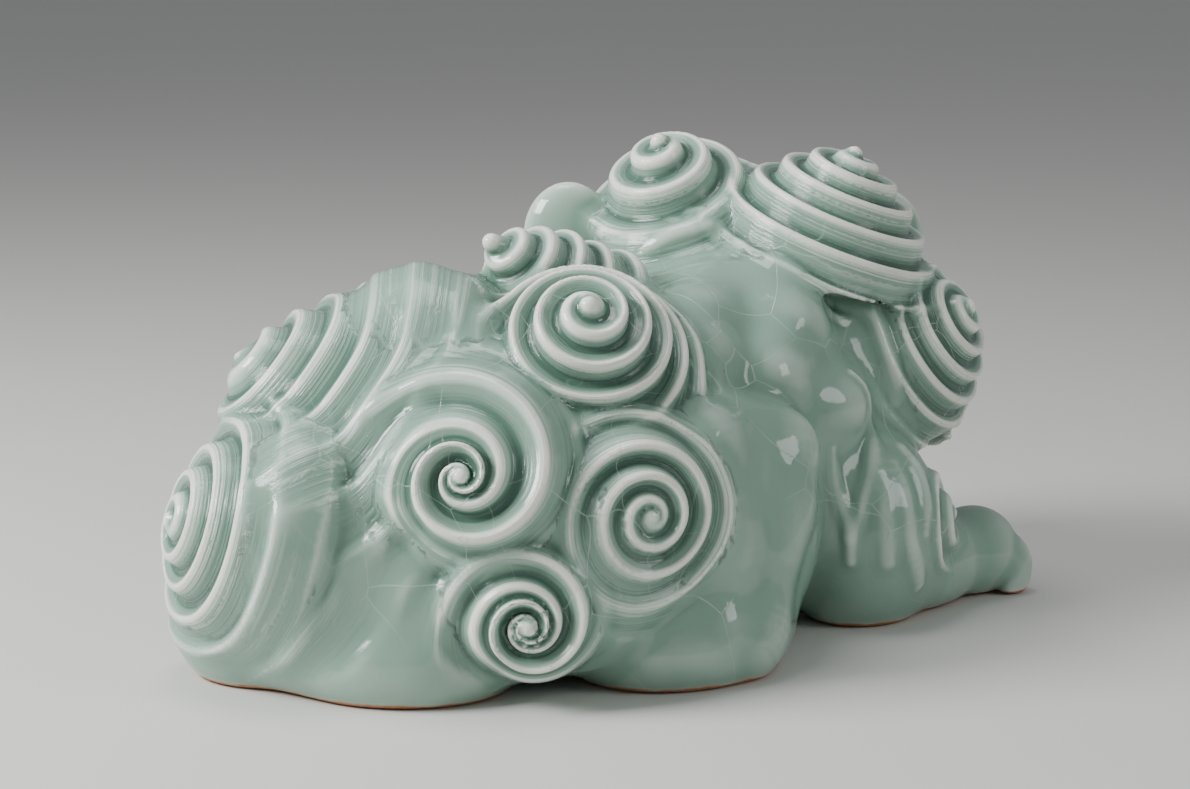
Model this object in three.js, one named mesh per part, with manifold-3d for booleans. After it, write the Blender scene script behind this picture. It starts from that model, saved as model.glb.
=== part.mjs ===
// A crouching guardian lion (foo dog) figure in celadon-glazed stoneware, cast in one piece.
// Millimetres, +Z up. The lion lies along Y and looks toward -Y, with its head turned to its own left (+X).
import * as THREE from "three";
import { mergeVertices } from "three/addons/utils/BufferGeometryUtils.js";
import Module from "manifold-3d";

const wasm = await Module();
wasm.setup();

// Driving sizes of the body
const midX = 4;
const backHeight = 126;
const halfWidth = 54;
const hipY = 16;
const chestY = -46;
const haunchLength = 112;
const haunchHeight = 92;
const pawY = -131;
const pawRadius = 16;

// Driving sizes of the head, which is turned about the neck
const neckX = 31.5;
const neckY = -81;
const headTurn = -49;
const skullHeight = 102;
const skullRadius = 42;
const muzzleReach = 78;
const earSpan = 108;

// Driving sizes of the tail
const tailX = 22;
const tailY = 78;
const tailHeight = 118;

// How fine the facets are, around and from top to bottom
const torsoFacets = [22, 15];
const tailFacets = [18, 12];
const headFacets = [18, 13];
const ballFacets = [8, 5];
const nubFacets = [5, 4];
const bumpFacets = [6, 4];

const degrees = THREE.MathUtils.degToRad;
const up = new THREE.Vector3(0, 0, 1);
const at = (x, y, z) => new THREE.Vector3(x, y, z);

// A direction from its compass angle in the ground plane and its rise above it, in degrees
function aim(turn, rise) {
  const flat = Math.cos(degrees(rise));
  return at(flat * Math.cos(degrees(turn)), flat * Math.sin(degrees(turn)), Math.sin(degrees(rise)));
}

// A place on the head, by how far forward, to the head's left and above the ground it is
function onHead(forward, left, height) {
  const c = Math.cos(degrees(headTurn));
  const s = Math.sin(degrees(headTurn));
  return at(neckX + forward * c - left * s, neckY + forward * s + left * c, height);
}

// A direction on the head: turn 0 looks forward and turn 90 to its left
const headAim = (turn, rise) => aim(turn + headTurn, rise);

// Flesh is made of rounded lumps that flow into each other
const lump = (centre, radii, turn = 0) => ({ centre, radii, turn });
const headLump = (forward, left, height, radii) => lump(onHead(forward, left, height), radii, headTurn);

function lumpDistance(item, p) {
  const c = Math.cos(degrees(item.turn));
  const s = Math.sin(degrees(item.turn));
  const dx = p.x - item.centre.x;
  const dy = p.y - item.centre.y;
  const x = (dx * c + dy * s) / item.radii[0];
  const y = (dy * c - dx * s) / item.radii[1];
  const z = (p.z - item.centre.z) / item.radii[2];
  const near = Math.hypot(x, y, z);
  const slope = Math.hypot(x / item.radii[0], y / item.radii[1], z / item.radii[2]);
  return (near * (near - 1)) / slope;
}

// The distance to lumps joined by soft hollows of the given width
function fleshDistance(lumps, softness, p) {
  let distance = lumpDistance(lumps[0], p);
  for (const item of lumps.slice(1)) {
    const next = lumpDistance(item, p);
    const mix = Math.max(softness - Math.abs(distance - next), 0);
    distance = Math.min(distance, next) - (mix * mix) / (4 * softness);
  }
  return distance;
}

// The point of the flesh's surface that a ray from the centre leaves last
function surfacePoint(lumps, softness, centre, ray) {
  const farAway = 260;
  const closeEnough = 0.02;
  const p = centre.clone().addScaledVector(ray, farAway);
  for (let step = 0; step < 80; step++) {
    const gap = fleshDistance(lumps, softness, p);
    if (Math.abs(gap) < closeEnough) break;
    p.addScaledVector(ray, -0.8 * gap);
  }
  return p;
}

// A closed skin over the lumps
function skin(lumps, softness, centre, facets) {
  const geometry = new THREE.SphereGeometry(1, ...facets).rotateX(Math.PI / 2);
  const place = geometry.getAttribute("position");
  const ray = new THREE.Vector3();
  for (let i = 0; i < place.count; i++) {
    ray.fromBufferAttribute(place, i).normalize();
    const p = surfacePoint(lumps, softness, centre, ray);
    place.setXYZ(i, p.x, p.y, p.z);
  }
  return solid(geometry);
}

// manifold-3d joins and cuts the closed shapes
function solid(geometry) {
  geometry.deleteAttribute("normal");
  geometry.deleteAttribute("uv");
  const merged = mergeVertices(geometry, 1e-4);
  return new wasm.Manifold(
    new wasm.Mesh({
      numProp: 3,
      vertProperties: merged.attributes.position.array,
      triVerts: new Uint32Array(merged.index.array),
    }),
  );
}

function geometryOf(made) {
  const mesh = made.getMesh();
  const geometry = new THREE.BufferGeometry();
  geometry.setAttribute("position", new THREE.BufferAttribute(mesh.vertProperties, 3));
  geometry.setIndex(new THREE.BufferAttribute(mesh.triVerts, 1));
  return geometry;
}

function closedShape(positions, faces) {
  const geometry = new THREE.BufferGeometry();
  geometry.setAttribute("position", new THREE.Float32BufferAttribute(positions, 3));
  geometry.setIndex(faces);
  return solid(geometry);
}

function ball(centre, radii, turn = 0, facets = ballFacets) {
  const geometry = new THREE.SphereGeometry(1, ...facets).rotateX(Math.PI / 2);
  geometry.scale(...radii).rotateZ(degrees(turn));
  return solid(geometry.translate(centre.x, centre.y, centre.z));
}

// How far out a strand lies after so many turns: 0 at the tip of a curl, 1 at its rim
const beyondRim = 0.25;
function reachAfter(turn, turns, spread) {
  if (turn > turns) return 1 + (turn - turns) * beyondRim;
  return Math.expm1((spread * turn) / turns) / Math.expm1(spread);
}

// Across one turn of a curl: the strand's crest, its outer foot and, on wide strands, a second ridge
const narrowStrand = [
  { offset: 0, level: 1 },
  { offset: 0.62, level: -1 },
];
const wideStrand = [
  { offset: 0, level: 1 },
  { offset: 0.28, level: -0.6 },
  { offset: 0.48, level: 0.3 },
  { offset: 0.78, level: -1.2 },
];

// A curl: a strand coils up a low cone, from the rim at its foot to a round nub at its tip
function curl(tip, axis, options) {
  const { height, radius, turns, start } = options;
  const { spread = 0.2, hand = 1, relief = 2, bulge = 4, nub = 3, sink = 14 } = options;
  const { sides = 12, rows = narrowStrand } = options;
  const slant = Math.hypot(height, radius);
  const rise = height / slant;
  const run = radius / slant;
  const right = new THREE.Vector3().crossVectors(up, axis).normalize();
  const over = new THREE.Vector3().crossVectors(axis, right);
  const angleOf = (i) => degrees(start) + (hand * 2 * Math.PI * i) / sides;
  const positions = [];
  const place = (depth, out, angle) => {
    const p = tip.clone().addScaledVector(axis, -depth);
    p.addScaledVector(right, out * Math.cos(angle)).addScaledVector(over, out * Math.sin(angle));
    return positions.push(p.x, p.y, p.z) / 3 - 1;
  };
  const onStrand = (i, row) => {
    const turn = i / sides + row.offset;
    if (turn === 0) return place(0, 0, 0);
    const q = reachAfter(turn, turns, spread);
    const swell = bulge * 4 * q * (1 - Math.min(q, 1));
    const lift = swell + relief * row.level * Math.min(1, turn / 1.6);
    return place(q * slant * rise - lift * run, q * slant * run + lift * rise, angleOf(i));
  };

  const faces = [];
  const face = (a, b, c) => (hand > 0 ? faces.push(a, b, c) : faces.push(a, c, b));
  const quad = (a, b, c, d) => {
    face(a, b, c);
    face(a, c, d);
  };
  const steps = Math.round(sides * turns);
  const lastTurn = steps - sides;
  const last = rows.length - 1;
  const grid = Array.from({ length: steps + 1 }, (_, i) => rows.map((row) => onStrand(i, row)));
  for (let i = 0; i < steps; i++) {
    const [inner, next] = [grid[i], grid[i + 1]];
    quad(inner[0], inner[1], next[1], next[0]);
    if (i >= lastTurn) continue;
    for (let k = 1; k < last; k++) quad(inner[k], inner[k + 1], next[k + 1], next[k]);
    quad(inner[last], grid[i + sides][0], grid[i + 1 + sides][0], next[last]);
  }

  // The tip is closed by a fan, and the strand's first cut by a small wall
  const top = grid[0];
  for (let i = 1; i < sides; i++) face(top[0], grid[i][0], grid[i + 1][0]);
  face(top[0], grid[sides][0], top[last]);
  for (let k = last; k > 1; k--) face(top[0], top[k], top[k - 1]);

  // The outer foot drops into the flesh and is closed below
  const root = height + sink;
  const drop = [];
  for (let i = lastTurn; i <= steps; i++) {
    const out = reachAfter(i / sides + rows[1].offset, turns, spread) * radius;
    drop.push(place(root, out, angleOf(i)));
  }
  const middle = place(root + 2, 0, 0);
  for (let i = 0; i < sides; i++) {
    quad(grid[lastTurn + i][1], drop[i], drop[i + 1], grid[lastTurn + i + 1][1]);
    face(middle, drop[i + 1], drop[i]);
  }
  face(middle, drop[0], drop[sides]);

  // The strand's outer end is cut square
  const end = [...grid[lastTurn].slice(1), grid[steps][0], grid[steps][1]];
  for (let k = 1; k < end.length; k++) face(drop[0], end[k - 1], end[k]);
  face(drop[0], end[end.length - 1], drop[sides]);

  const nubCentre = tip.clone().addScaledVector(axis, -nub / 2);
  return closedShape(positions, faces).add(ball(nubCentre, [nub, nub, nub], 0, nubFacets));
}

// A lock of hair: a ridge that runs over the flesh through a few places and thins out to its ends
function lock(lumps, softness, centre, places, width, height) {
  const onFlesh = places.map((p) => surfacePoint(lumps, softness, centre, p.clone().sub(centre).normalize()));
  const path = new THREE.CatmullRomCurve3(onFlesh);
  const stations = 6;
  const positions = [];
  const faces = [];
  for (let i = 1; i < stations; i++) {
    const t = i / stations;
    const p = path.getPointAt(t);
    const outward = p.clone().sub(centre).normalize();
    const across = path.getTangentAt(t).cross(outward).normalize();
    const full = Math.sin(Math.PI * t) ** 0.5;
    for (const [side, lift] of [[0, 1], [1, -1], [0, -3], [-1, -1]]) {
      const q = p.clone().addScaledVector(across, side * width * 0.5 * full);
      q.addScaledVector(outward, lift * height * (lift > 0 ? full : 1));
      positions.push(q.x, q.y, q.z);
    }
  }
  const ends = [0, 1].map((t) => {
    const p = path.getPointAt(t);
    p.addScaledVector(p.clone().sub(centre).normalize(), -height);
    return positions.push(p.x, p.y, p.z) / 3 - 1;
  });
  const rings = stations - 1;
  for (let k = 0; k < 4; k++) {
    const k2 = (k + 1) % 4;
    for (let i = 0; i + 1 < rings; i++) {
      faces.push(4 * i + k, 4 * i + 4 + k2, 4 * i + 4 + k, 4 * i + k, 4 * i + k2, 4 * i + 4 + k2);
    }
    faces.push(ends[0], k2, k);
    faces.push(ends[1], 4 * (rings - 1) + k, 4 * (rings - 1) + k2);
  }
  return closedShape(positions, faces);
}

const pieces = [];
const bothSides = [-1, 1];

// Torso, haunches, shoulders and elbows
const torsoSoftness = 10;
const torsoCentre = at(midX, -8, 50);
const torso = [
  lump(at(midX, hipY, 58), [halfWidth - 8, 50, backHeight - 60]),
  lump(at(midX, chestY, 60), [halfWidth - 4, 58, backHeight - 60]),
];
for (const side of bothSides) {
  const hipX = midX + side * (halfWidth - 20);
  torso.push(lump(at(hipX, hipY - 6, 42), [34, haunchLength / 2, haunchHeight - 42]));
  torso.push(lump(at(hipX + side * 6, hipY + 6, 12), [33, 42, 24]));
  torso.push(lump(at(hipX + side * 8, chestY - 28, 30), [27, 30, 38]));
}
pieces.push(skin(torso, torsoSoftness, torsoCentre, torsoFacets));

// Bumps of flesh on the back and flanks
const bumpInset = 9;
const bumpRadii = [15, 17, 12];
const bumpPlaces = [
  at(-15, -18, 115), at(-19, -59, 120), at(-33, -50, 109), at(-40, -31, 95),
  at(-28, -3, 104), at(-46, -60, 81), at(-53, 26, 80), at(-55, -16, 72),
];
for (const side of bothSides) {
  for (const place of bumpPlaces) {
    const ray = at(midX - side * place.x, place.y, place.z).sub(torsoCentre).normalize();
    const p = surfacePoint(torso, torsoSoftness, torsoCentre, ray);
    pieces.push(ball(p.addScaledVector(ray, -bumpInset), bumpRadii, 0, bumpFacets));
  }
}

// A fold of skin that runs round the shoulder below the mane
for (const side of bothSides) {
  const places = [at(-3, -50, 130), at(-31, -60, 124), at(-41, -72, 106), at(-46, -84, 76)];
  const fold = places.map((p) => at(midX - side * p.x, p.y, p.z));
  pieces.push(lock(torso, torsoSoftness, torsoCentre, fold, 7, 2.5));
}

// Forelegs along the ground, with toes
for (const side of bothSides) {
  const legX = midX + side * (halfWidth - 4);
  pieces.push(ball(at(legX, pawY + 30, pawRadius - 1), [pawRadius - 1, 38, pawRadius]));
  pieces.push(ball(at(legX, pawY, pawRadius - 1), [pawRadius + 1, pawRadius, pawRadius]));
  for (let toe = -1.5; toe < 2; toe++) {
    const lead = pawY - 12 + Math.abs(toe) * 3;
    pieces.push(ball(at(legX + toe * 8.5, lead, 9), [5.4, 8, 11], 0, nubFacets));
  }
}

// The bush of the tail and its curls
const bushSoftness = 14;
const bushCentre = at(tailX, tailY + 4, 46);
const bush = [
  lump(at(tailX + 4, tailY - 12, 58), [48, 34, tailHeight - 58]),
  lump(at(tailX + 30, tailY + 14, 42), [42, 38, 44]),
  lump(at(tailX + 40, tailY + 36, 20), [33, 31, 29]),
  lump(at(tailX - 34, tailY - 4, 30), [28, 30, 34]),
  lump(at(tailX - 7, tailY + 24, 12), [36, 24, 20], 41),
  lump(at(tailX + 14, tailY - 10, 98), [32, 28, 34]),
];
pieces.push(skin(bush, bushSoftness, bushCentre, tailFacets));

const tailSpan = ball(at(tailX, tailY, 60), [74, 82, 90], 0, [16, 10]);
pieces.push(
  curl(at(-30, 60.5, 124.5), aim(137, 44), { height: 30, radius: 33, turns: 4.3, start: 302, sides: 14 }),
  curl(at(28, 44.5, 138), aim(79, 36), {
    height: 40, radius: 22, turns: 4.4, spread: 0.3, start: 348, relief: 1.5, sides: 10,
  }),
  curl(at(-21.5, 111.5, 75.5), aim(123, 20), {
    height: 21, radius: 46, turns: 2.72, spread: 3.42, start: 306, rows: wideStrand, sides: 14,
  }),
  curl(at(-58, 63, 60), aim(150, 3), { height: 13, radius: 29, turns: 3.5, spread: 1.1, start: 176 }),
  curl(at(-40, 101, 28.5), aim(134, 2), {
    height: 13, radius: 27, turns: 2.95, spread: 2.95, start: 207, rows: wideStrand,
  }),
  curl(at(71, 148.5, 55), aim(61, 15), { height: 24, radius: 41, turns: 4.5, spread: 0.6, start: 179, relief: 1.8 }),
  curl(at(81, 110.5, 103), aim(57, 38), { height: 44, radius: 64, turns: 5.7, start: 100 }).intersect(tailSpan),
  curl(at(88, 74, 40), aim(-8, 6), { height: 18, radius: 28, turns: 2.7, spread: 1.5, start: 0, hand: -1 }),
);

// Locks of hair that run down from the curls of the tail
const tailLocks = [
  [at(20, 112, 56), at(16, 112, 36), at(24, 112, 10)],
  [at(9, 104, 50), at(4, 106, 36), at(8, 110, 14)],
  [at(-8, 112, 34), at(4, 112, 22), at(18, 110, 8)],
  [at(26, 132, 62), at(27, 130, 44), at(33, 130, 12)],
];
for (const places of tailLocks) {
  pieces.push(lock(bush, bushSoftness, bushCentre, places, 9, 3));
}

// Head, with the muzzle, cheeks and brows
const headSoftness = 7;
const headCentre = onHead(10, 0, 92);
const head = [
  headLump(0, 0, skullHeight, [skullRadius, skullRadius, skullRadius]),
  headLump(-16, 0, 96, [42, 56, 44]),
  headLump(muzzleReach - 25, 0, 82, [25, 27, 17]),
  headLump(muzzleReach - 29, 0, 63, [22, 24, 12]),
  headLump(muzzleReach - 9, 0, 95, [11, 13, 9]),
];
for (const side of bothSides) {
  head.push(headLump(22, side * 33, 84, [18, 15, 20]));
  head.push(headLump(34, side * 20, 121, [13, 15, 7]));
}
pieces.push(skin(head, headSoftness, headCentre, headFacets));

for (const side of bothSides) {
  pieces.push(ball(onHead(40, side * 18, 107), [8, 9, 9], headTurn));
  pieces.push(ball(onHead(muzzleReach - 5, side * 9, 92), [6, 6, 5], headTurn, nubFacets));
  const ear = ball(onHead(-6, (side * earSpan) / 2, 128), [8, 16, 19], headTurn, [10, 8]);
  pieces.push(ear.subtract(ball(onHead(4, side * (earSpan / 2 + 1), 128), [7, 10, 13], headTurn)));
  const fang = new THREE.ConeGeometry(3, 13, 6).rotateX(-Math.PI / 2);
  const fangRoot = onHead(muzzleReach - 12, side * 15, 70);
  pieces.push(solid(fang.translate(fangRoot.x, fangRoot.y, fangRoot.z)));
}

// Curls of the mane: two behind the crown, then down the cheeks and the beard
const mane = { bulge: 5, relief: 1.8, sink: 6 };
const smallCurl = { height: 14, radius: 15, turns: 2, sides: 7, nub: 2.6, start: 0, sink: 8 };
pieces.push(
  curl(at(36, -52, 164), aim(103, 61), {
    ...mane, height: 44, radius: 39, turns: 4, spread: 1, hand: -1, start: 207,
  }),
  curl(at(-16.5, -97, 159.5), aim(205, 70), { ...mane, height: 36, radius: 41, turns: 5.1, start: 3 }),
  curl(at(-52, -118, 106), aim(196, 32), { ...mane, height: 30, radius: 34, turns: 5, start: 350 }),
  curl(onHead(-2, 76, 88), headAim(100, 12), { ...mane, height: 26, radius: 27, turns: 3.4, hand: -1, start: 0 }),
);
for (const side of bothSides) {
  const hand = side;
  pieces.push(curl(onHead(2, side * 88, 69), headAim(side * 90, 0), { ...smallCurl, hand: -hand, radius: 18 }));
  pieces.push(curl(onHead(30, side * 17, 145), headAim(side * 30, 45), { ...smallCurl, hand: -hand }));
  pieces.push(curl(onHead(34, side * 46, 66), headAim(side * 50, -8), { ...smallCurl, hand: -hand }));
}
for (const side of [-1, 0, 1]) {
  pieces.push(curl(onHead(56, side * 17, 44), headAim(side * 30, -12), { ...smallCurl, radius: 12 }));
}
for (const side of bothSides) {
  const elbow = at(midX + side * 64, -98, 36);
  const outward = side < 0 ? aim(215, 10) : aim(-35, 10);
  pieces.push(curl(elbow, outward, { ...smallCurl, hand: -side, radius: 17 }));
}

// The underside is cut flat
const room = 600;
const aboveGround = new THREE.BoxGeometry(room, room, room).translate(0, 0, room / 2);
const whole = wasm.Manifold.union(pieces).intersect(solid(aboveGround));

// Small pockets closed in between the pieces are filled by keeping the outer shell alone
const outerShell = whole.decompose().reduce((a, b) => (a.volume() > b.volume() ? a : b));

const glaze = new THREE.MeshStandardMaterial({ color: 0x9dbbaa, roughness: 0.12, metalness: 0 });
const body = new THREE.Mesh(geometryOf(outerShell), glaze);
body.name = "foo_dog";

// The origin is on the ground below the middle of the figure
const middle = new THREE.Box3().setFromObject(body).getCenter(new THREE.Vector3());
body.position.set(-middle.x, -middle.y, 0);

const group = new THREE.Group();
group.add(body);

export default group;
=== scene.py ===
"""The looks of a crouching guardian lion figure: its carved form, celadon glaze, floor and light."""
import math

import bpy
import numpy as np
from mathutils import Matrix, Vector


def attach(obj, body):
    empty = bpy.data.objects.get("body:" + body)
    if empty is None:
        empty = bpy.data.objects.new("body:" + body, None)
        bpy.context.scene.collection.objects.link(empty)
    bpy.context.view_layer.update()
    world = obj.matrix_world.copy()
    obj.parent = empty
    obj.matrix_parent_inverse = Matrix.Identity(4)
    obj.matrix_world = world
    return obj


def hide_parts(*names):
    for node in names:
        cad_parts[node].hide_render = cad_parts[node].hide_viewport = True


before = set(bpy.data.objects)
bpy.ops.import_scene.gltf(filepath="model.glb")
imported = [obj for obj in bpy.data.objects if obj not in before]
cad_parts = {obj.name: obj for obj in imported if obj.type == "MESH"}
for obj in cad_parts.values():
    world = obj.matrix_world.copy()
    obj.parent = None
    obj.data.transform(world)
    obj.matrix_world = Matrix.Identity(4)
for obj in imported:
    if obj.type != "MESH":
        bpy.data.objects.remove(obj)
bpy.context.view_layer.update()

# The carving is laid out in millimetres about a point that lies here in the part's frame
SHIFT_X, SHIFT_Y = -18.3726, -2.9352
MM = 0.001

# The camera of the photograph
CAMERA_AT = (-705.4, 834.7, 276.4)
CAMERA_LOOK = (0.65606, -0.75471)
CAMERA_PITCH = 10
LENS = 100


def to_metres(p):
    return (np.asarray(p, float) + np.array([SHIFT_X, SHIFT_Y, 0])) * MM


camera_data = bpy.data.cameras.new("camera")
camera_data.lens = LENS
camera_data.sensor_width = 36
camera_data.clip_end = 20
camera = bpy.data.objects.new("camera", camera_data)
bpy.context.scene.collection.objects.link(camera)
camera.location = to_metres(CAMERA_AT)
flat = math.cos(math.radians(CAMERA_PITCH))
look = Vector((CAMERA_LOOK[0] * flat, CAMERA_LOOK[1] * flat, -math.sin(math.radians(CAMERA_PITCH))))
camera.rotation_euler = look.to_track_quat("-Z", "Y").to_euler()
bpy.context.scene.camera = camera

# Sizes shared with the solid, in millimetres about the carving's own middle
midX, backHeight, halfWidth, hipY, chestY = 4, 126, 54, 16, -46
haunchLength, haunchHeight, pawY, pawRadius = 112, 92, -131, 16
neckX, neckY, headTurn, skullHeight, skullRadius = 31.5, -81, -49, 102, 42
muzzleReach, earSpan = 78, 108
tailX, tailY, tailHeight = 22, 78, 118


def aim(turn, rise):
    t, r = np.radians(turn), np.radians(rise)
    return np.array([np.cos(r) * np.cos(t), np.cos(r) * np.sin(t), np.sin(r)])


def on_head(forward, left, height):
    c, s = np.cos(np.radians(headTurn)), np.sin(np.radians(headTurn))
    return np.array([neckX + forward * c - left * s, neckY + forward * s + left * c, height])


def head_aim(turn, rise):
    return aim(turn + headTurn, rise)


def smooth_min(a, b, k):
    mix = np.maximum(k - np.abs(a - b), 0)
    return np.minimum(a, b) - mix * mix / (4 * k)


def smooth_max(a, b, k):
    mix = np.maximum(k - np.abs(a - b), 0)
    return np.maximum(a, b) + mix * mix / (4 * k)


def ellipsoid(p, centre, radii, turn=0.0):
    c, s = np.cos(np.radians(turn)), np.sin(np.radians(turn))
    dx, dy = p[:, 0] - centre[0], p[:, 1] - centre[1]
    x = (dx * c + dy * s) / radii[0]
    y = (dy * c - dx * s) / radii[1]
    z = (p[:, 2] - centre[2]) / radii[2]
    near = np.sqrt(x * x + y * y + z * z) + 1e-9
    slope = np.sqrt((x / radii[0]) ** 2 + (y / radii[1]) ** 2 + (z / radii[2]) ** 2) + 1e-9
    return near * (near - 1) / slope


def smooth_step(t):
    t = np.clip(t, 0, 1)
    return t * t * (3 - 2 * t)


def flesh(p, lumps, softness):
    d = None
    for centre, radii, turn in lumps:
        e = ellipsoid(p, centre, radii, turn)
        d = e if d is None else smooth_min(d, e, softness)
    return d


# Spiral curls: the height of a strand across its width, for narrow strands and wide ones
NARROW = [(0, 1), (0.66, -1)]
WIDE = [(0, 1), (0.26, -0.6), (0.46, 0.25), (0.78, -1.2)]


def level(phase, rows):
    """The height of a strand at a place across it, smooth between the stated rows."""
    knots = [r[0] for r in rows] + [1 + rows[0][0]]
    values = [r[1] for r in rows] + [rows[0][1]]
    out = np.zeros_like(phase)
    for a, b, va, vb in zip(knots, knots[1:], values, values[1:]):
        m = (phase >= a) & (phase <= b)
        t = (phase[m] - a) / (b - a)
        out[m] = vb + (va - vb) * (0.5 + 0.5 * np.cos(np.pi * t))
    return out


class Curl:
    """A spiral curl: one strand wound on a cone, wider apart from turn to turn, with a flared rim."""
    def __init__(self, name, tip, axis, height, radius, turns, start, spread=0.2, hand=1, relief=2.0,
                 bulge=4.0, nub=3.0, sink=14.0, rows=NARROW, fade=0.35, lip=4.0, within=None, join=7.0,
                 run_on=0.2, flare=0.8, flare_depth=7.0):
        self.name, self.tip, self.axis = name, np.array(tip, float), axis
        self.H, self.R, self.turns, self.start, self.k = height, radius, turns, start, spread
        self.hand, self.relief, self.bulge, self.nub, self.sink = hand, relief, bulge, nub, sink
        self.rows, self.fade, self.foot = rows, fade, rows[1][0]
        self.lip, self.within, self.join = lip, within, join
        self.end, self.flare, self.flare_depth = turns + run_on, flare, flare_depth
        self.slant = np.hypot(height, radius)
        self.rise, self.run = height / self.slant, radius / self.slant
        right = np.cross([0, 0, 1], axis)
        self.right = right / np.linalg.norm(right)
        self.over = np.cross(axis, self.right)
        reach = self.reach(self.end + self.foot) * radius + 4
        self.centre = self.tip - axis * (height + sink) * 0.5
        self.bound = np.hypot(reach, (height + sink) * 0.5) + 4

    def reach(self, t):
        return np.expm1(self.k * t / self.turns) / np.expm1(self.k)

    def turns_at(self, q):
        return self.turns * np.log1p(q * np.expm1(self.k)) / self.k

    def ridges(self, q, turn, angle):
        """The strand's relief: lower where its turns lie closer together."""
        across = turn - self.hand * (angle - self.start / 360)
        spacing = self.slant * self.k / self.turns * (q + 1 / np.expm1(self.k))
        strength = np.minimum(spacing / 8, 1.35) * smooth_step((spacing - 1.8) / 3)
        strength = strength * np.minimum(1, turn / 1.2)
        return self.relief * strength * level(across - np.floor(across), self.rows)

    def polar(self, p):
        rel = p - self.tip
        depth = -(rel @ self.axis)
        x, y = rel @ self.right, rel @ self.over
        out = np.sqrt(x * x + y * y)
        return depth, out, np.arctan2(y, x) / (2 * np.pi)

    def strand(self, p):
        """Place across the strand (in turns), turns from the tip and angle (turns)."""
        depth, out, angle = self.polar(p)
        q = (depth * self.rise + out * self.run) / self.slant
        n = self.turns_at(np.maximum(q, 0))
        return n - self.hand * (angle - self.start / 360), n, angle

    def rim(self, angle):
        a = self.hand * (angle - self.start / 360)
        last = self.end - np.mod(self.end - a, 1)
        ease = smooth_step((self.end - last) / self.fade)
        outer, inner = self.reach(last + self.foot), self.reach(last - 1 + self.foot)
        return self.R * (outer * ease + inner * (1 - ease))

    def run_on_relief(self, p):
        """The strand's relief carried on past the rim, and how far past it each point lies."""
        depth, out, angle = self.polar(p)
        q = np.maximum(depth * self.rise + out * self.run, 0) / self.slant
        return self.ridges(q, self.turns_at(q), angle), out - self.rim(angle)

    def distance(self, p):
        depth, out, angle = self.polar(p)
        s = depth * self.rise + out * self.run
        n = -depth * self.run + out * self.rise
        q = np.maximum(s, 0) / self.slant
        lift = self.bulge * 4 * q * np.maximum(1 - q, 0) + self.ridges(q, self.turns_at(q), angle)
        face = np.where(s > 0, n - lift, np.sqrt(s * s + n * n))
        # The rim follows the strand's outer foot, and its last stretch runs out into the turn before
        wall = out - self.rim(angle) + self.flare * np.maximum(face, -self.flare_depth)
        d = smooth_max(face, wall / np.hypot(1, self.flare), self.lip)
        d = smooth_max(d, depth - self.H - self.sink, 4)
        ball = np.sqrt(((p - self.tip + self.axis * self.nub / 2) ** 2).sum(1)) - self.nub
        d = smooth_min(d, ball, 1.6)
        if self.within is not None:
            d = smooth_max(d, ellipsoid(p, *self.within), 5)
        return d


class Group:
    """Lumps that flow into each other."""
    def __init__(self, name, lumps, softness, join, carved_by=()):
        self.name, self.lumps, self.softness = name, lumps, softness
        self.join, self.carved_by = join, carved_by
        lo = np.min([np.array(c) - max(r) for c, r, t in self.lumps], axis=0)
        hi = np.max([np.array(c) + max(r) for c, r, t in self.lumps], axis=0)
        self.centre = (lo + hi) / 2
        self.bound = np.linalg.norm(hi - lo) / 2 + 6

    def distance(self, p):
        d = flesh(p, self.lumps, self.softness)
        if self.carved_by:
            near = np.abs(d) < 6
            d[near] -= self.relief_at(p[near])
        return d

    def relief_at(self, p):
        """Strands of the nearest curl run on over the flesh and fade out."""
        found = [curl.run_on_relief(p) for curl, _, _ in self.carved_by]
        past = np.array([f[1] for f in found])
        total = np.zeros(len(p))
        for i, (curl, extent, amount) in enumerate(self.carved_by):
            others = np.delete(past, i, axis=0).min(0) if len(past) > 1 else np.full(len(p), 1e3)
            share = smooth_step(1.15 - past[i] / extent) * smooth_step((others - past[i] + 6) / 12)
            total += amount * share * found[i][0]
        return total * smooth_step((p[:, 2] - 7) / 10)


class Hollowed(Group):
    """A rounded lump with a hollow."""
    def __init__(self, name, lump, hollow, join, lip=2.0):
        super().__init__(name, [lump], 1, join)
        self.hollow, self.lip = hollow, lip

    def distance(self, p):
        return smooth_max(flesh(p, self.lumps, 1), -ellipsoid(p, *self.hollow), self.lip)


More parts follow.
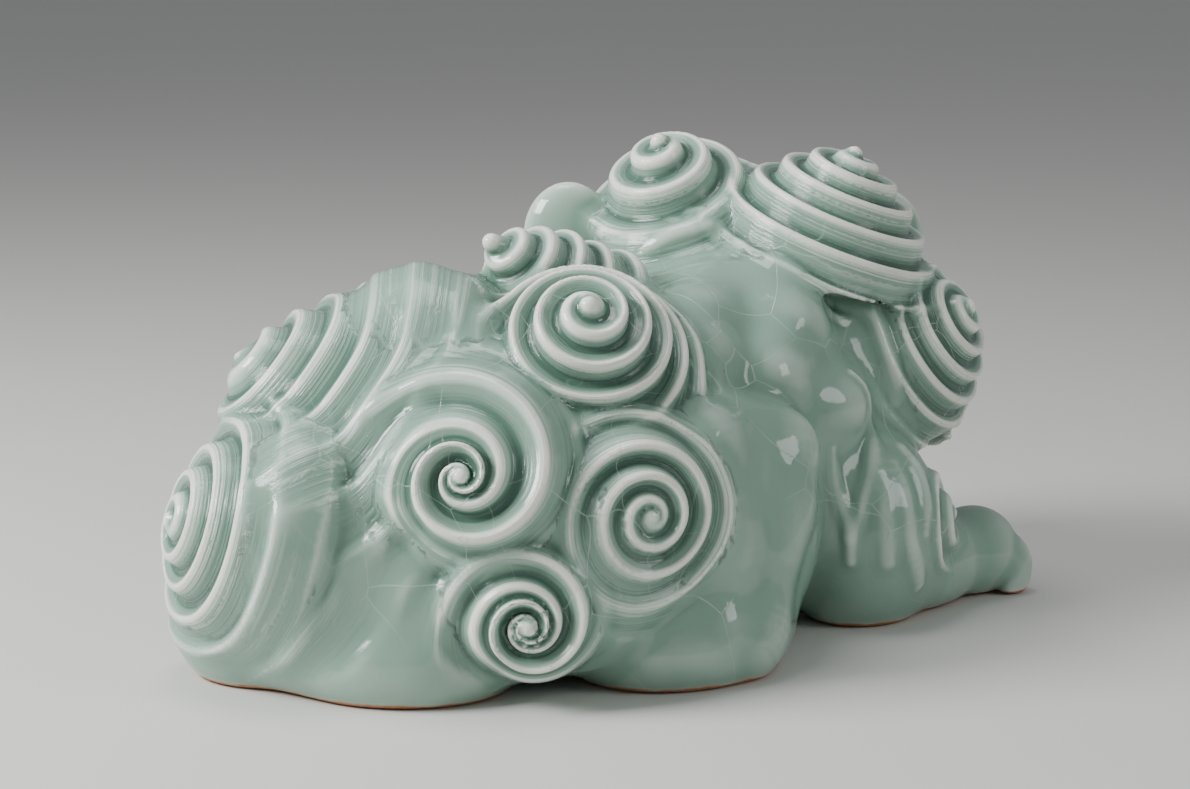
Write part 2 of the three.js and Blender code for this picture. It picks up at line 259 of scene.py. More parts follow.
class Ridge:
    """A lock of hair or a fold: a tapering round ridge along a smooth path."""
    def __init__(self, name, path, width, join, sunk, taper=0.35):
        self.name, self.join, self.width, self.sunk, self.taper = name, join, width, sunk, taper
        self.points = smooth_path(np.array(path, float), 6)
        self.settle()

    def settle(self):
        pts = self.points
        self.a, self.b = pts[:-1], pts[1:]
        t = np.linspace(0, 1, len(pts))
        full = np.sin(np.pi / 2 * np.clip(np.minimum(t, 1 - t) / self.taper, 0, 1))
        self.radius = self.width - (self.width - self.sunk) * (1 - full)
        lo, hi = pts.min(0), pts.max(0)
        self.centre = (lo + hi) / 2
        self.bound = np.linalg.norm(hi - lo) / 2 + self.width + 5

    def lay_on(self, surface):
        """Moves the path onto a surface and then below it by the sunk depth."""
        e = 0.3
        for aim_at in (0, 0, -self.sunk):
            f = surface(self.points)
            g = np.stack([(surface(self.points + d) - surface(self.points - d)) / (2 * e)
                          for d in np.eye(3) * e], axis=1)
            self.points = self.points - g * np.clip((f - aim_at) / (g * g).sum(1), -12, 12)[:, None]
        self.settle()

    def distance(self, p):
        best = np.full(len(p), 1e3)
        for i in range(len(self.a)):
            ab = self.b[i] - self.a[i]
            t = np.clip(((p - self.a[i]) @ ab) / (ab @ ab), 0, 1)
            d = np.sqrt(((p - self.a[i] - t[:, None] * ab) ** 2).sum(1))
            r = self.radius[i] + (self.radius[i + 1] - self.radius[i]) * t
            best = np.minimum(best, d - r)
        return best


def smooth_path(points, per):
    """A curve through the points, by Catmull-Rom pieces."""
    pts = np.vstack([2 * points[0] - points[1], points, 2 * points[-1] - points[-2]])
    out = []
    for i in range(1, len(pts) - 2):
        p0, p1, p2, p3 = pts[i - 1:i + 3]
        for t in np.linspace(0, 1, per, endpoint=False):
            out.append(0.5 * (2 * p1 + (p2 - p0) * t + (2 * p0 - 5 * p1 + 4 * p2 - p3) * t * t
                              + (3 * p1 - p0 - 3 * p2 + p3) * t ** 3))
    out.append(pts[-2])
    return np.array(out)


def build():
    both = (-1, 1)
    span = ((tailX, tailY, 60), (74, 82, 90), 0)
    A = Curl("A", (-30, 60.5, 124.5), aim(137, 44), 30, 33, 4.3, 302)
    B = Curl("B", (28, 44.5, 138), aim(79, 36), 40, 22, 4.4, 348, spread=0.3, relief=1.3)
    C = Curl("C", (-21.5, 111.5, 75.5), aim(123, 20), 19, 41, 2.6, 306, spread=3.3, rows=WIDE, relief=2.2,
             join=4.5)
    D = Curl("D", (-58, 63, 60), aim(150, 3), 13, 29, 3.5, 176, spread=1.1, run_on=0.2)
    E = Curl("E", (-40, 101, 28.5), aim(134, 2), 15, 31, 3.1, 207, spread=3.1, rows=WIDE, run_on=0.0)
    F = Curl("F", (71, 148.5, 55), aim(61, 15), 24, 41, 4.5, 179, spread=0.6, relief=1.6, run_on=-0.4)
    H = Curl("H", (81, 110.5, 103), aim(57, 38), 44, 64, 5.7, 100, within=span, relief=1.4)
    J = Curl("J", (88, 74, 40), aim(-8, 6), 18, 28, 2.7, 0, spread=1.5, hand=-1)
    mane = dict(bulge=5, relief=1.7, sink=6, flare=0.6, lip=5)
    M1 = Curl("M1", (36, -52, 164), aim(103, 61), 44, 39, 4, 207, spread=1, hand=-1, **mane)
    M2 = Curl("M2", (-16.5, -97, 159.5), aim(205, 70), 36, 41, 5.1, 3, **mane)
    M3 = Curl("M3", (-52, -118, 106), aim(196, 32), 30, 34, 5, 350, **mane)
    M4 = Curl("M4", on_head(-2, 76, 88), head_aim(100, 12), 26, 27, 3.4, 0, hand=-1, **mane)

    torso = [((midX, hipY, 58), (halfWidth - 8, 50, backHeight - 60), 0),
             ((midX, chestY, 60), (halfWidth - 4, 58, backHeight - 60), 0)]
    for side in both:
        torso += [((midX + side * (halfWidth - 12), chestY - 28, 30), (27, 30, 38), 0)]
    body = Group("torso", torso, 10, 4)
    parts = [body]
    for side in both:
        hip = midX + side * (halfWidth - 20)
        parts.append(Group("thigh", [((hip, hipY - 6, 42), (34, haunchLength / 2, haunchHeight - 42), 0),
                                     ((hip + side * 6, hipY + 6, 12), (33, 42, 24), 0)], 10, 5))
    parts.append(Group("neck", [((-16, -94, 80), (31, 32, 39), 0)], 1, 8))

    centre = np.array([midX, -8, 50.0])
    bumps = [(-15, -18, 115), (-19, -59, 120), (-33, -50, 109), (-40, -31, 95), (-28, -3, 104),
             (-46, -60, 81), (-53, 26, 80), (-55, -16, 72)]
    for side in both:
        for b in bumps:
            ray = np.array([midX - side * b[0], b[1], b[2]]) - centre
            ray /= np.linalg.norm(ray)
            thigh = parts[2 if side > 0 else 1]
            p = outermost(lambda q: np.minimum(body.distance(q), thigh.distance(q)), centre, ray)
            parts.append(Group("bump", [(tuple(p - ray * 7), (12, 13, 11), 0)], 1, 10))
    for side in both:
        lx = midX + side * (halfWidth - 4)
        leg = [((lx, pawY + 30, pawRadius - 1), (pawRadius - 1, 38, pawRadius), 0),
               ((lx, pawY, pawRadius - 1), (pawRadius + 1, pawRadius, pawRadius), 0)]
        parts.append(Group("leg", leg, 6, 5))
        for toe in (-1.5, -0.5, 0.5, 1.5):
            lead = pawY - 12 + abs(toe) * 3
            parts.append(Group("toe", [((lx + toe * 8.5, lead, 9), (5.6, 8.6, 11), 0)], 1, 2.5))

    bush = [((tailX + 4, tailY - 12, 58), (48, 34, tailHeight - 58), 0),
            ((tailX + 30, tailY + 14, 42), (42, 38, 44), 0),
            ((tailX + 40, tailY + 36, 20), (33, 31, 29), 0),
            ((tailX - 48, tailY - 26, 44), (32, 42, 42), 0),
            ((tailX - 11, tailY + 25, 11), (37, 27, 19), 41),
            ((tailX + 14, tailY - 10, 98), (32, 28, 34), 0),
            ((tailX + 12, tailY + 45, 46), (22, 27, 39), 0),
            ((tailX - 14, tailY + 21, 33), (27, 24, 34), 41)]
    run_out = [(F, 26, 0.45), (C, 20, 0.4), (H, 22, 0.2), (A, 6, 0.3), (D, 6, 0.3), (E, 14, 0.4)]
    parts.append(Group("bush", bush, 14, 4, carved_by=run_out))
    parts += [A, B, C, D, E, F, H, J]

    head = [(on_head(0, 0, skullHeight), (skullRadius,) * 3, headTurn),
            (on_head(-16, 0, 96), (42, 56, 44), headTurn),
            (on_head(muzzleReach - 25, 0, 82), (25, 27, 17), headTurn),
            (on_head(muzzleReach - 29, 0, 63), (22, 24, 12), headTurn),
            (on_head(muzzleReach - 9, 0, 95), (11, 13, 9), headTurn)]
    for side in both:
        head += [(on_head(22, side * 33, 84), (18, 15, 20), headTurn)]
        head += [(on_head(34, side * 20, 121), (13, 15, 7), headTurn)]
    run_out = [(M1, 16, 0.9), (M2, 16, 0.9), (M3, 12, 0.8), (M4, 10, 0.8)]
    parts.append(Group("head", head, 7, 4, carved_by=run_out))
    for side in both:
        parts.append(Group("eye", [(on_head(40, side * 18, 107), (8, 9, 9), headTurn)], 1, 1.5))
    ears = {-1: (10, 58, 124), 1: (-6, 54, 128)}
    for side, (f, l, h) in ears.items():
        parts.append(Hollowed("ear", (on_head(f, side * l, h), (8, 16, 19), headTurn),
                              (on_head(f + 10, side * (l + 1), h), (7, 10, 13), headTurn), 3))
    parts += [M1, M2, M3, M4]

    small = dict(height=14, radius=15, turns=2, nub=2.6, start=0, sink=8)
    for side in both:
        turned = {**small, "hand": -side}
        parts.append(Curl("s", on_head(2, side * 88, 69), head_aim(side * 90, 0), **{**turned, "radius": 18}))
        parts.append(Curl("s", on_head(30, side * 17, 145), head_aim(side * 30, 45), **turned))
        parts.append(Curl("s", on_head(34, side * 46, 66), head_aim(side * 50, -8), **turned))
        outward = aim(215, 10) if side < 0 else aim(-35, 10)
        parts.append(Curl("elbow", (midX + side * 64, -98, 36), outward, **{**turned, "radius": 17}))
    for side in (-1, 0, 1):
        beard = {**small, "radius": 12}
        parts.append(Curl("s", on_head(56, side * 17, 44), head_aim(side * 30, -12), **beard))

    for path, width, sunk, join in LOCKS:
        parts.append(Ridge("lock", path, width, join, sunk))
    for path, width, sunk, join in FOLDS:
        for side in both:
            mirrored = [(midX - side * (x - midX), y, z) for x, y, z in path]
            parts.append(Ridge("fold", mirrored, width, join, sunk))

    # The paths lie on the flesh, so each is laid on what was there before it
    flesh_parts = [q for q in parts if isinstance(q, Group)]
    for ridge in parts:
        if isinstance(ridge, Ridge):
            ridge.lay_on(lambda q: field(q, flesh_parts))
    return parts


# Paths of strands: places, width, how deep the middle is sunk, and the softness of the foot
LOCKS = [
    ([(28, -34, 126), (19, -42, 132), (8, -54, 135)], 2.6, 1.2, 3),
]
FOLDS = [
    ([(-35, -66, 121), (-36, -81, 104), (-43, -82, 91), (-44, -84, 76)], 2.4, 1.2, 3),
    ([(-44, -59, 88), (-46, -68, 72), (-51, -62, 60), (-54, -54, 47), (-52, -49, 34)], 2.2, 1.0, 3),
    ([(-46, -46, 64), (-48, -46, 53), (-52, -48, 38), (-53, -48, 26)], 2.0, 1.0, 3),
    ([(-1, -51, 130), (-16, -55, 131), (-27, -59, 128), (-34, -63, 118)], 2.4, 1.2, 3),
    ([(-15, -51, 125), (-25, -55, 120), (-30, -66, 108)], 2.0, 1.2, 3),
    ([(-57, -16, 74), (-60, -12, 57), (-64, -1, 43), (-66, 8, 24), (-68, 16, 10)], 11, 8.5, 8),
    ([(-54, 28, 82), (-59, 29, 67), (-63, 27, 44), (-65, 30, 25)], 10, 7.8, 8),
    ([(-57, -67, 57), (-62, -66, 44), (-65, -66, 32), (-64, -74, 15)], 4.0, 2.4, 4),
    ([(-51, -64, 64), (-59, -59, 46), (-61, -59, 26)], 4.0, 2.8, 4),
    ([(-55, -76, 61), (-62, -77, 49), (-66, -74, 34)], 3.4, 2.0, 4),
]


def outermost(distance, centre, ray):
    p = np.array(centre, float) + ray * 260
    for _ in range(120):
        gap = distance(p[None])[0]
        if abs(gap) < 0.02:
            break
        p = p - ray * 0.8 * gap
    return p


PAD = 9.0


def field(p, parts):
    d = np.full(len(p), 60.0)
    for part in parts:
        m = ((p - part.centre) ** 2).sum(1) < (part.bound + PAD) ** 2
        if not m.any():
            continue
        d[m] = smooth_min(d[m], part.distance(p[m]), part.join)
    return smooth_max(d, -p[:, 2], 1.5)


def owners(p, parts):
    """The nearest part of each point, and how much nearer it is than the next."""
    first = np.full(len(p), 60.0)
    second = np.full(len(p), 60.0)
    who = np.full(len(p), -1)
    for i, part in enumerate(parts):
        m = np.nonzero(((p - part.centre) ** 2).sum(1) < (part.bound + PAD) ** 2)[0]
        if not len(m):
            continue
        di = part.distance(p[m])
        nearer = di < first[m]
        second[m] = np.where(nearer, first[m], np.minimum(second[m], di))
        who[m[nearer]] = i
        first[m] = np.minimum(first[m], di)
    return who, second - first


CORNERS = np.array([(1, 1, 1), (1, -1, -1), (-1, 1, -1), (-1, -1, 1)], float)


def slope_and_value(p, parts, h=0.15):
    """The field's gradient and value from four samples around each point."""
    samples = [field(p + h * c, parts) for c in CORNERS]
    gradient = sum(f[:, None] * c for f, c in zip(samples, CORNERS)) / (4 * h)
    return gradient, sum(samples) / 4


def grid_field(lo, hi, step, parts, block=8):
    """The field on a grid, sampled finely only in blocks that the surface can cross."""
    n = np.ceil((hi - lo) / step / block).astype(int) * block
    ax = [lo[i] + step * np.arange(n[i]) for i in range(3)]
    out = np.full(n, 60.0)
    half = step * block / 2
    mids = [a[::block] + half - step / 2 for a in ax]
    gx, gy, gz = np.meshgrid(*mids, indexing="ij")
    rough = field(np.stack([gx.ravel(), gy.ravel(), gz.ravel()], axis=1), parts).reshape(gx.shape)
    near = np.abs(rough) < half * 2.6
    out_blocks = np.sign(rough)
    inner = np.arange(block) * step
    ox, oy, oz = np.meshgrid(inner, inner, inner, indexing="ij")
    offsets = np.stack([ox.ravel(), oy.ravel(), oz.ravel()], axis=1)
    for i in range(near.shape[0]):
        for j in range(near.shape[1]):
            out[i * block:(i + 1) * block, j * block:(j + 1) * block] = \
                np.repeat(out_blocks[i, j] * 60, block)[None, None, :]
            ks = np.nonzero(near[i, j])[0]
            if not len(ks):
                continue
            corner = np.empty((len(ks), 3))
            corner[:, 0], corner[:, 1], corner[:, 2] = ax[0][i * block], ax[1][j * block], ax[2][ks * block]
            pts = (corner[:, None] + offsets[None]).reshape(-1, 3)
            values = field(pts, parts).reshape(len(ks), block, block, block)
            for k, value in zip(ks, values):
                out[i * block:(i + 1) * block, j * block:(j + 1) * block, k * block:(k + 1) * block] = value
    return ax, out


def surface_net(ax, v, step):
    """One vertex in each cell that the surface crosses, and one quad for each crossed grid edge."""
    n = v.shape
    inside = v < 0
    lo = np.array([a[0] for a in ax])
    cells = np.zeros((n[0] - 1, n[1] - 1, n[2] - 1), np.int8)
    count = np.zeros(cells.shape, np.int8)
    for dx in (0, 1):
        for dy in (0, 1):
            for dz in (0, 1):
                count += inside[dx:n[0] - 1 + dx, dy:n[1] - 1 + dy, dz:n[2] - 1 + dz]
    mixed = (count > 0) & (count < 8)
    ci = np.stack(np.nonzero(mixed), axis=1)
    index = np.full(cells.shape, -1)
    index[mixed] = np.arange(len(ci))
    total = np.zeros((len(ci), 3))
    number = np.zeros(len(ci))
    corners = [np.array(c) for c in np.ndindex(2, 2, 2)]
    for a in corners:
        for axis in range(3):
            if a[axis]:
                continue
            b = a.copy()
            b[axis] = 1
            va = v[tuple((ci + a).T)]
            vb = v[tuple((ci + b).T)]
            cross = (va < 0) != (vb < 0)
            t = np.where(cross, va / np.where(cross, va - vb, 1), 0)
            pos = ci + a + t[:, None] * (b - a)
            total += pos * cross[:, None]
            number += cross
    verts = lo + step * total / number[:, None]
    quads = []
    for axis in range(3):
        u, w = (axis + 1) % 3, (axis + 2) % 3
        a = np.take(inside, range(0, n[axis] - 1), axis)
        b = np.take(inside, range(1, n[axis]), axis)
        e = np.stack(np.nonzero(a != b), axis=1)
        keep = (e[:, u] > 0) & (e[:, w] > 0) & (e[:, u] < n[u] - 1) & (e[:, w] < n[w] - 1)
        e = e[keep]
        flip = ~a[tuple(e.T)]
        du, dw = np.eye(3, dtype=int)[[u, w]]
        q = np.stack([index[tuple(c.T)] for c in (e - du - dw, e - dw, e, e - du)], axis=1)
        q[flip] = q[flip][:, ::-1]
        quads.append(q)
    return verts, np.vstack(quads)


def project_on(verts, parts, rounds=3):
    for _ in range(rounds):
        g, f = slope_and_value(verts, parts)
        step = np.clip(f / np.maximum((g * g).sum(1), 0.05), -1.5, 1.5)
        verts = verts - g * step[:, None]
    return verts


def relax(verts, quads, parts, amount=0.5):
    """Evens out the mesh: each vertex moves along the surface toward the middle of its neighbours."""
    n = len(verts)
    total = np.zeros((n, 3))
    number = np.zeros(n)
    for a, b in ((0, 1), (1, 2), (2, 3), (3, 0)):
        for here, there in ((a, b), (b, a)):
            np.add.at(total, quads[:, here], verts[quads[:, there]])
            np.add.at(number, quads[:, here], 1)
    mid = total / np.maximum(number, 1)[:, None]
    g, _ = slope_and_value(verts, parts)
    g /= np.linalg.norm(g, axis=1, keepdims=True) + 1e-9
    move = (mid - verts) * amount
    move -= g * (move * g).sum(1)[:, None]
    return verts + move


# The carved form as a mesh
GRID, FACES = ((1.3, 196000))


def carve_mesh(step):
    lo, hi = np.array([-74.0, -154, -2]), np.array([110.0, 160, 170])
    parts = build()
    ax, v = grid_field(lo, hi, step, parts)
    verts, quads = surface_net(ax, v, step)
    verts = project_on(verts, parts, 2)
    verts = relax(verts, quads, parts)
    verts = project_on(verts, parts, 1)
    verts, faces = thin_out(verts, quads, FACES)
    verts = project_on(verts, parts, 2)
    return parts, verts, faces


def thin_out(verts, quads, faces):
    """Fewer and larger faces where the form is smooth."""
    fine = bpy.data.meshes.new("fine")
    fine.from_pydata(verts.tolist(), [], quads.tolist())
    carrier = bpy.data.objects.new("fine", fine)
    bpy.context.scene.collection.objects.link(carrier)
    thin = carrier.modifiers.new("thin", "DECIMATE")
    thin.ratio = min(1.0, faces / (2 * len(quads)))
    thinned = carrier.evaluated_get(bpy.context.evaluated_depsgraph_get()).to_mesh()
    thinned.calc_loop_triangles()
    co = np.empty(3 * len(thinned.vertices))
    thinned.vertices.foreach_get("co", co)
    corner = np.empty(3 * len(thinned.loop_triangles), np.int32)
    thinned.loop_triangles.foreach_get("vertices", corner)
    bpy.data.objects.remove(carrier)
    bpy.data.meshes.remove(fine)
    return largest_part(co.reshape(-1, 3), corner.reshape(-1, 3))


def largest_part(verts, faces):
    """Leaves out loose specks: only the faces that hang together with the body stay."""
    label = np.arange(len(verts))
    while True:
        lowest = label[faces].min(1)
        new = label.copy()
        np.minimum.at(new, faces.ravel(), np.repeat(lowest, 3))
        new = new[new]
        if (new == label).all():
            break
        label = new
    names, number = np.unique(label[faces[:, 0]], return_counts=True)
    faces = faces[label[faces[:, 0]] == names[number.argmax()]]
    used = np.unique(faces)
    place = np.zeros(len(verts), int)
    place[used] = np.arange(len(used))
    return verts[used], place[faces]


def hollowness(verts, normal, parts, radius):
    """How far the surface falls away, or rises, round each vertex: above 0 on crests, below 0 in grooves."""
    side = np.cross(normal, [0.31, 0.52, 0.79])
    side /= np.linalg.norm(side, axis=1, keepdims=True) + 1e-9
    other = np.cross(normal, side)
    total = np.zeros(len(verts))
    for angle in np.arange(6) * math.pi / 3:
        total += field(verts + radius * (math.cos(angle) * side + math.sin(angle) * other), parts)
    return total / 6 / radius


def strand_place(curl, p):
    """Where points lie on a curl's strand: round its width as a circle, and along it in turns."""
    across, turn, _ = curl.strand(p)
    return np.stack([np.cos(2 * math.pi * across), np.sin(2 * math.pi * across), turn], axis=1)


def strand_run_out(part, p):
    """The strand that runs out over the flesh at each point, and how clearly it shows there."""
    past = np.array([curl.run_on_relief(p)[1] - extent * 0.3 for curl, extent, _ in part.carved_by])
    nearest = past.argmin(0)
    place = np.zeros((len(p), 3))
    shows = np.zeros(len(p))
    for k, (curl, extent, _) in enumerate(part.carved_by):
        m = nearest == k
        place[m] = strand_place(curl, p[m])
        shows[m] = smooth_step(1.15 - (past[k][m] + extent * 0.3) / extent)
    ranked = np.sort(past, axis=0)
    shows *= smooth_step((ranked[1] - ranked[0]) / 8) * smooth_step((p[:, 2] - 7) / 10)
    return place, 0.7 * shows


def attributes_of(verts, parts):
    """Each vertex's normal, how hollow the form is there, and the strand that runs over it."""
    normal, _ = slope_and_value(verts, parts)
    normal /= np.linalg.norm(normal, axis=1, keepdims=True) + 1e-9
    edge = hollowness(verts, normal, parts, 1.6)
    form = hollowness(verts, normal, parts, 4.5)
    who, lead = owners(verts, parts)
    strand = np.zeros((len(verts), 3))
    streak = np.zeros(len(verts))
    for i, part in enumerate(parts):
        mine = who == i
        if not mine.any():
            continue
        if isinstance(part, Curl):
            strand[mine] = strand_place(part, verts[mine]) + [0, 0, 3.7 * i]
            turn = part.strand(verts[mine])[1]
            streak[mine] = smooth_step(lead[mine] / 1.5) * smooth_step((turn - 0.6) / 1.0)
        elif getattr(part, "carved_by", ()):
            strand[mine], shows = strand_run_out(part, verts[mine])
            streak[mine] = shows * smooth_step(lead[mine] / 1.5)
    return normal, edge, form, strand, streak


def add_attribute(mesh, name, kind, values):
    made = mesh.attributes.new(name, kind, "POINT")
    key = "vector" if kind == "FLOAT_VECTOR" else "value"
    made.data.foreach_set(key, np.ascontiguousarray(values, np.float32).ravel())


parts, verts, faces = carve_mesh(GRID)
normal, edge, form, strand, streak = attributes_of(verts, parts)
mesh = bpy.data.meshes.new("figure")
mesh.vertices.add(len(verts))
mesh.vertices.foreach_set("co", to_metres(verts).astype(np.float32).ravel())
mesh.loops.add(faces.size)
mesh.loops.foreach_set("vertex_index", faces.astype(np.int32).ravel())
mesh.polygons.add(len(faces))
mesh.polygons.foreach_set("loop_start", (3 * np.arange(len(faces))).astype(np.int32))
mesh.update(calc_edges=True)
mesh.validate()
add_attribute(mesh, "edge", "FLOAT", edge)
add_attribute(mesh, "form", "FLOAT", form)
add_attribute(mesh, "strand", "FLOAT_VECTOR", strand)
add_attribute(mesh, "streak", "FLOAT", streak)
mesh.shade_smooth()
mesh.normals_split_custom_set_from_vertices(normal.astype(np.float32).tolist())
figure = bpy.data.objects.new("figure", mesh)
bpy.context.scene.collection.objects.link(figure)


# The glaze
class Nodes:
    """Short names for a material's nodes."""
    def __init__(self, name):
        self.material = bpy.data.materials.new(name)
        self.material.use_nodes = True
        self.tree = self.material.node_tree
        self.tree.nodes.clear()

    def add(self, kind, **settings):
        node = self.tree.nodes.new(kind)
        for key, value in settings.items():
            setattr(node, key, value)
        return node

    def put(self, value, socket):
        if isinstance(value, bpy.types.NodeSocket):
            self.tree.links.new(value, socket)
        else:
            socket.default_value = value

    def attribute(self, name, output="Fac"):
        return self.add("ShaderNodeAttribute", attribute_name=name).outputs[output]

    def math(self, operation, a, b=0.0, c=0.0, clamp=False):
        node = self.add("ShaderNodeMath", operation=operation, use_clamp=clamp)
        for value, socket in zip((a, b, c), node.inputs):
            self.put(value, socket)
        return node.outputs[0]

    def ramp(self, value, low, high, to_low=0.0, to_high=1.0, smooth=True):
        node = self.add("ShaderNodeMapRange", interpolation_type="SMOOTHSTEP" if smooth else "LINEAR")
        for v, socket in zip((value, low, high, to_low, to_high), node.inputs):
            self.put(v, socket)
        return node.outputs[0]

    def blend(self, factor, a, b, mode="MIX"):
        node = self.add("ShaderNodeMix", data_type="RGBA", blend_type=mode)
        self.put(factor, node.inputs[0])
        self.put(a, node.inputs[6])
        self.put(b, node.inputs[7])
        return node.outputs[2]

    def noise(self, vector, scale, detail=2.0, roughness=0.5, w=None, distortion=0.0):
        node = self.add("ShaderNodeTexNoise", noise_dimensions="4D" if w is not None else "3D")
        self.put(vector, node.inputs["Vector"])
        if w is not None:
            self.put(w, node.inputs["W"])
        node.inputs["Scale"].default_value = scale
        node.inputs["Detail"].default_value = detail
        node.inputs["Roughness"].default_value = roughness
        node.inputs["Distortion"].default_value = distortion
        return node.outputs[0]


def colour(r, g, b):
    """An 8-bit screen colour as a scene-linear one."""
    c = np.array([r, g, b]) / 255
    linear = np.where(c <= 0.04045, c / 12.92, ((c + 0.055) / 1.055) ** 2.4)
    return (*linear.tolist(), 1.0)


WHITE = colour(240, 241, 231)
PALE = colour(186, 205, 192)
CELADON = colour(134, 163, 148)
DEEP = colour(78, 108, 95)
CLAY = colour(158, 98, 62)


def glaze_material():
    n = Nodes("celadon_glaze")
    place = n.add("ShaderNodeTexCoord").outputs["Object"]
    edge, form, streak = n.attribute("edge"), n.attribute("form"), n.attribute("streak")
    strand = n.attribute("strand", "Vector")
    parts = n.add("ShaderNodeSeparateXYZ")
    n.put(strand, parts.inputs[0])

    # Lines that the modelling tool drew along each strand
    flatten = n.add("ShaderNodeCombineXYZ")
    n.put(parts.outputs[0], flatten.inputs[0])
    n.put(parts.outputs[1], flatten.inputs[1])
    n.put(n.math("MULTIPLY", parts.outputs[2], 0.35), flatten.inputs[2])
    lines = n.noise(flatten.outputs[0], 2.6, detail=2.5, roughness=0.6)
    lines = n.ramp(lines, 0.33, 0.68)
    lines_fine = n.noise(flatten.outputs[0], 8.5, detail=2, roughness=0.6)

    # The glaze runs thin off the edges and pools in the hollows
    cloud = n.noise(place, 45, detail=3)
    thin = n.math("ADD", n.math("MULTIPLY", edge, 1.9), n.math("MULTIPLY", form, 0.75))
    thin = n.math("ADD", thin, n.math("MULTIPLY", n.math("SUBTRACT", cloud, 0.5), 0.2))
    streaky = n.math("MULTIPLY", n.math("SUBTRACT", lines, 0.45), n.math("MULTIPLY", streak, 0.34))
    thin = n.math("ADD", thin, streaky)
    base = n.blend(n.ramp(thin, -0.6, 0.0), DEEP, CELADON)
    base = n.blend(n.ramp(thin, 0.02, 0.34), base, PALE)
    base = n.blend(n.ramp(thin, 0.26, 0.62), base, WHITE)

    # Fine bubbles in the glaze
    bubbles = n.noise(place, 1500, detail=1.5, roughness=0.6)
    base = n.blend(n.ramp(bubbles, 0.3, 0.7, 0.0, 0.16, smooth=False), base, PALE, mode="SOFT_LIGHT")

    # Crackle: a pale net of fine lines
    warp = n.add("ShaderNodeVectorMath", operation="ADD")
    wobble = n.add("ShaderNodeTexNoise")
    n.put(place, wobble.inputs["Vector"])
    wobble.inputs["Scale"].default_value = 13
    wobble.inputs["Detail"].default_value = 1
    scaled = n.add("ShaderNodeVectorMath", operation="SCALE")
    n.put(wobble.outputs["Color"], scaled.inputs[0])
    scaled.inputs["Scale"].default_value = 0.05
    n.put(place, warp.inputs[0])
    n.put(scaled.outputs[0], warp.inputs[1])
    net = n.add("ShaderNodeTexVoronoi", feature="DISTANCE_TO_EDGE")
    n.put(warp.outputs[0], net.inputs["Vector"])
    net.inputs["Scale"].default_value = 34
    crack = n.ramp(net.outputs["Distance"], 0.003, 0.009, 1.0, 0.0)
    crack = n.math("MULTIPLY", crack, n.ramp(n.noise(place, 17, detail=1), 0.42, 0.62))
    base = n.blend(n.math("MULTIPLY", crack, 0.42), base, PALE)

    # A few dark pinholes and warm iron spots
    dots = n.add("ShaderNodeTexVoronoi", feature="F1")
    n.put(place, dots.inputs["Vector"])
    dots.inputs["Scale"].default_value = 75
    chosen = n.add("ShaderNodeSeparateColor")
    n.put(dots.outputs["Color"], chosen.inputs[0])
    pin = n.ramp(dots.outputs["Distance"], 0.022, 0.04, 1.0, 0.0)
    pin = n.math("MULTIPLY", pin, n.ramp(chosen.outputs[0], 0.93, 0.94))
    base = n.blend(n.math("MULTIPLY", pin, 0.75), base, colour(70, 74, 60))
    warm = n.noise(place, 22, detail=2)
    warm = n.math("MULTIPLY", n.ramp(warm, 0.62, 0.78), n.ramp(thin, 0.25, 0.6))
    base = n.blend(n.math("MULTIPLY", warm, 0.35), base, colour(222, 190, 150))

    # The foot is bare fired clay
    height = n.add("ShaderNodeSeparateXYZ")
    n.put(place, height.inputs[0])
    ragged = n.noise(place, 120, detail=3)
    ragged = n.math("MULTIPLY", n.math("SUBTRACT", ragged, 0.5), 0.0022)
    level_of_foot = n.math("ADD", height.outputs[2], ragged)
    foot = n.ramp(level_of_foot, 0.0010, 0.0022, 1.0, 0.0)
    clay = n.blend(n.noise(place, 400, detail=4), CLAY, colour(190, 140, 100))
    base = n.blend(foot, base, clay)

    # Relief: tool lines, crackle and a faint orange-peel
    relief = n.math("ADD", n.math("MULTIPLY", lines, 0.35), n.math("MULTIPLY", lines_fine, 0.22))
    relief = n.math("MULTIPLY", relief, streak)
    relief = n.math("ADD", relief, n.math("MULTIPLY", n.noise(place, 160, detail=2), 0.25))
    relief = n.math("SUBTRACT", relief, n.math("MULTIPLY", crack, 0.1))
    grit = n.math("MULTIPLY", foot, n.noise(place, 900, detail=3))
    relief = n.math("ADD", relief, n.math("MULTIPLY", grit, 0.8))
    bump = n.add("ShaderNodeBump")
    bump.inputs["Strength"].default_value = 1.0
    bump.inputs["Distance"].default_value = 0.00045
    n.put(relief, bump.inputs["Height"])

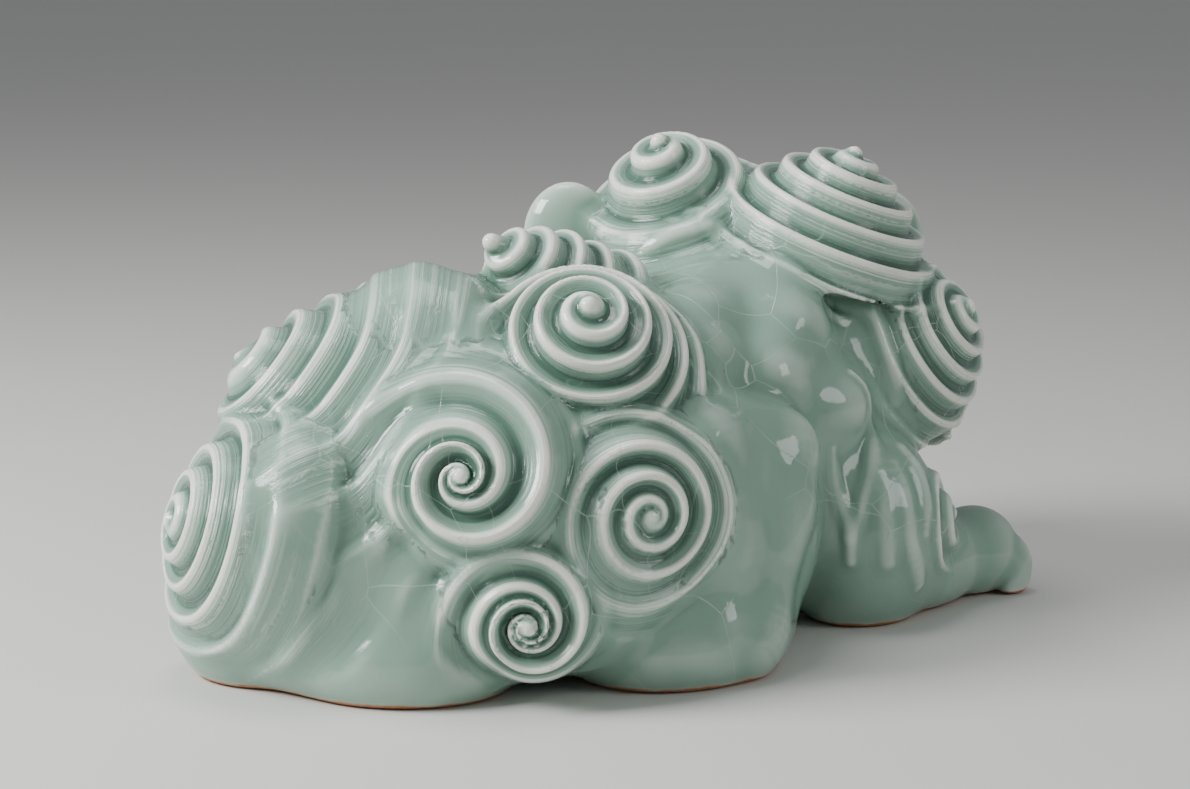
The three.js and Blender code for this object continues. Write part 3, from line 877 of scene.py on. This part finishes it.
    shader = n.add("ShaderNodeBsdfPrincipled")
    n.put(base, shader.inputs["Base Color"])
    rough = n.ramp(n.noise(place, 300, detail=3), 0.3, 0.7, 0.06, 0.12)
    rough = n.math("ADD", rough, n.math("MULTIPLY", foot, 0.6))
    n.put(rough, shader.inputs["Roughness"])
    n.put(bump.outputs[0], shader.inputs["Normal"])
    shader.inputs["IOR"].default_value = 1.52
    out = n.add("ShaderNodeOutputMaterial")
    n.put(shader.outputs[0], out.inputs[0])
    return n.material


figure.data.materials.append(glaze_material())
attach(figure, "root")
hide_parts("foo_dog")


# Floor and light
def plain_material(name, tone, roughness):
    n = Nodes(name)
    shader = n.add("ShaderNodeBsdfPrincipled")
    place = n.add("ShaderNodeTexCoord").outputs["Object"]
    darker = tuple(0.97 * c for c in tone[:3]) + (1,)
    n.put(n.blend(n.noise(place, 6), tone, darker), shader.inputs["Base Color"])
    shader.inputs["Roughness"].default_value = roughness
    n.put(shader.outputs[0], n.add("ShaderNodeOutputMaterial").inputs[0])
    return n.material


bpy.ops.mesh.primitive_plane_add(size=12, location=(0, 0, -0.0002))
floor = bpy.context.object
floor.name = "floor"
floor.data.materials.append(plain_material("floor", colour(214, 214, 210), 0.6))

world = bpy.data.worlds.new("studio")
world.use_nodes = True
world.node_tree.nodes["Background"].inputs[0].default_value = colour(225, 228, 230)
world.node_tree.nodes["Background"].inputs[1].default_value = 0.33
bpy.context.scene.world = world


def softbox(name, at, target, width, height, power):
    data = bpy.data.lights.new(name, "AREA")
    data.shape = "RECTANGLE"
    data.size, data.size_y = width, height
    data.energy = power
    light = bpy.data.objects.new(name, data)
    bpy.context.scene.collection.objects.link(light)
    light.location = at
    light.rotation_euler = (Vector(target) - Vector(at)).to_track_quat("-Z", "Y").to_euler()
    return light


softbox("key", (0.50, 0.86, 0.72), (0, 0, 0.07), 0.60, 0.42, 22)
softbox("side", (-1.0, -0.25, 0.55), (0, 0, 0.07), 0.35, 0.55, 2.6)
softbox("top", (0.15, 0.05, 1.1), (0, 0, 0.06), 0.45, 0.45, 4)
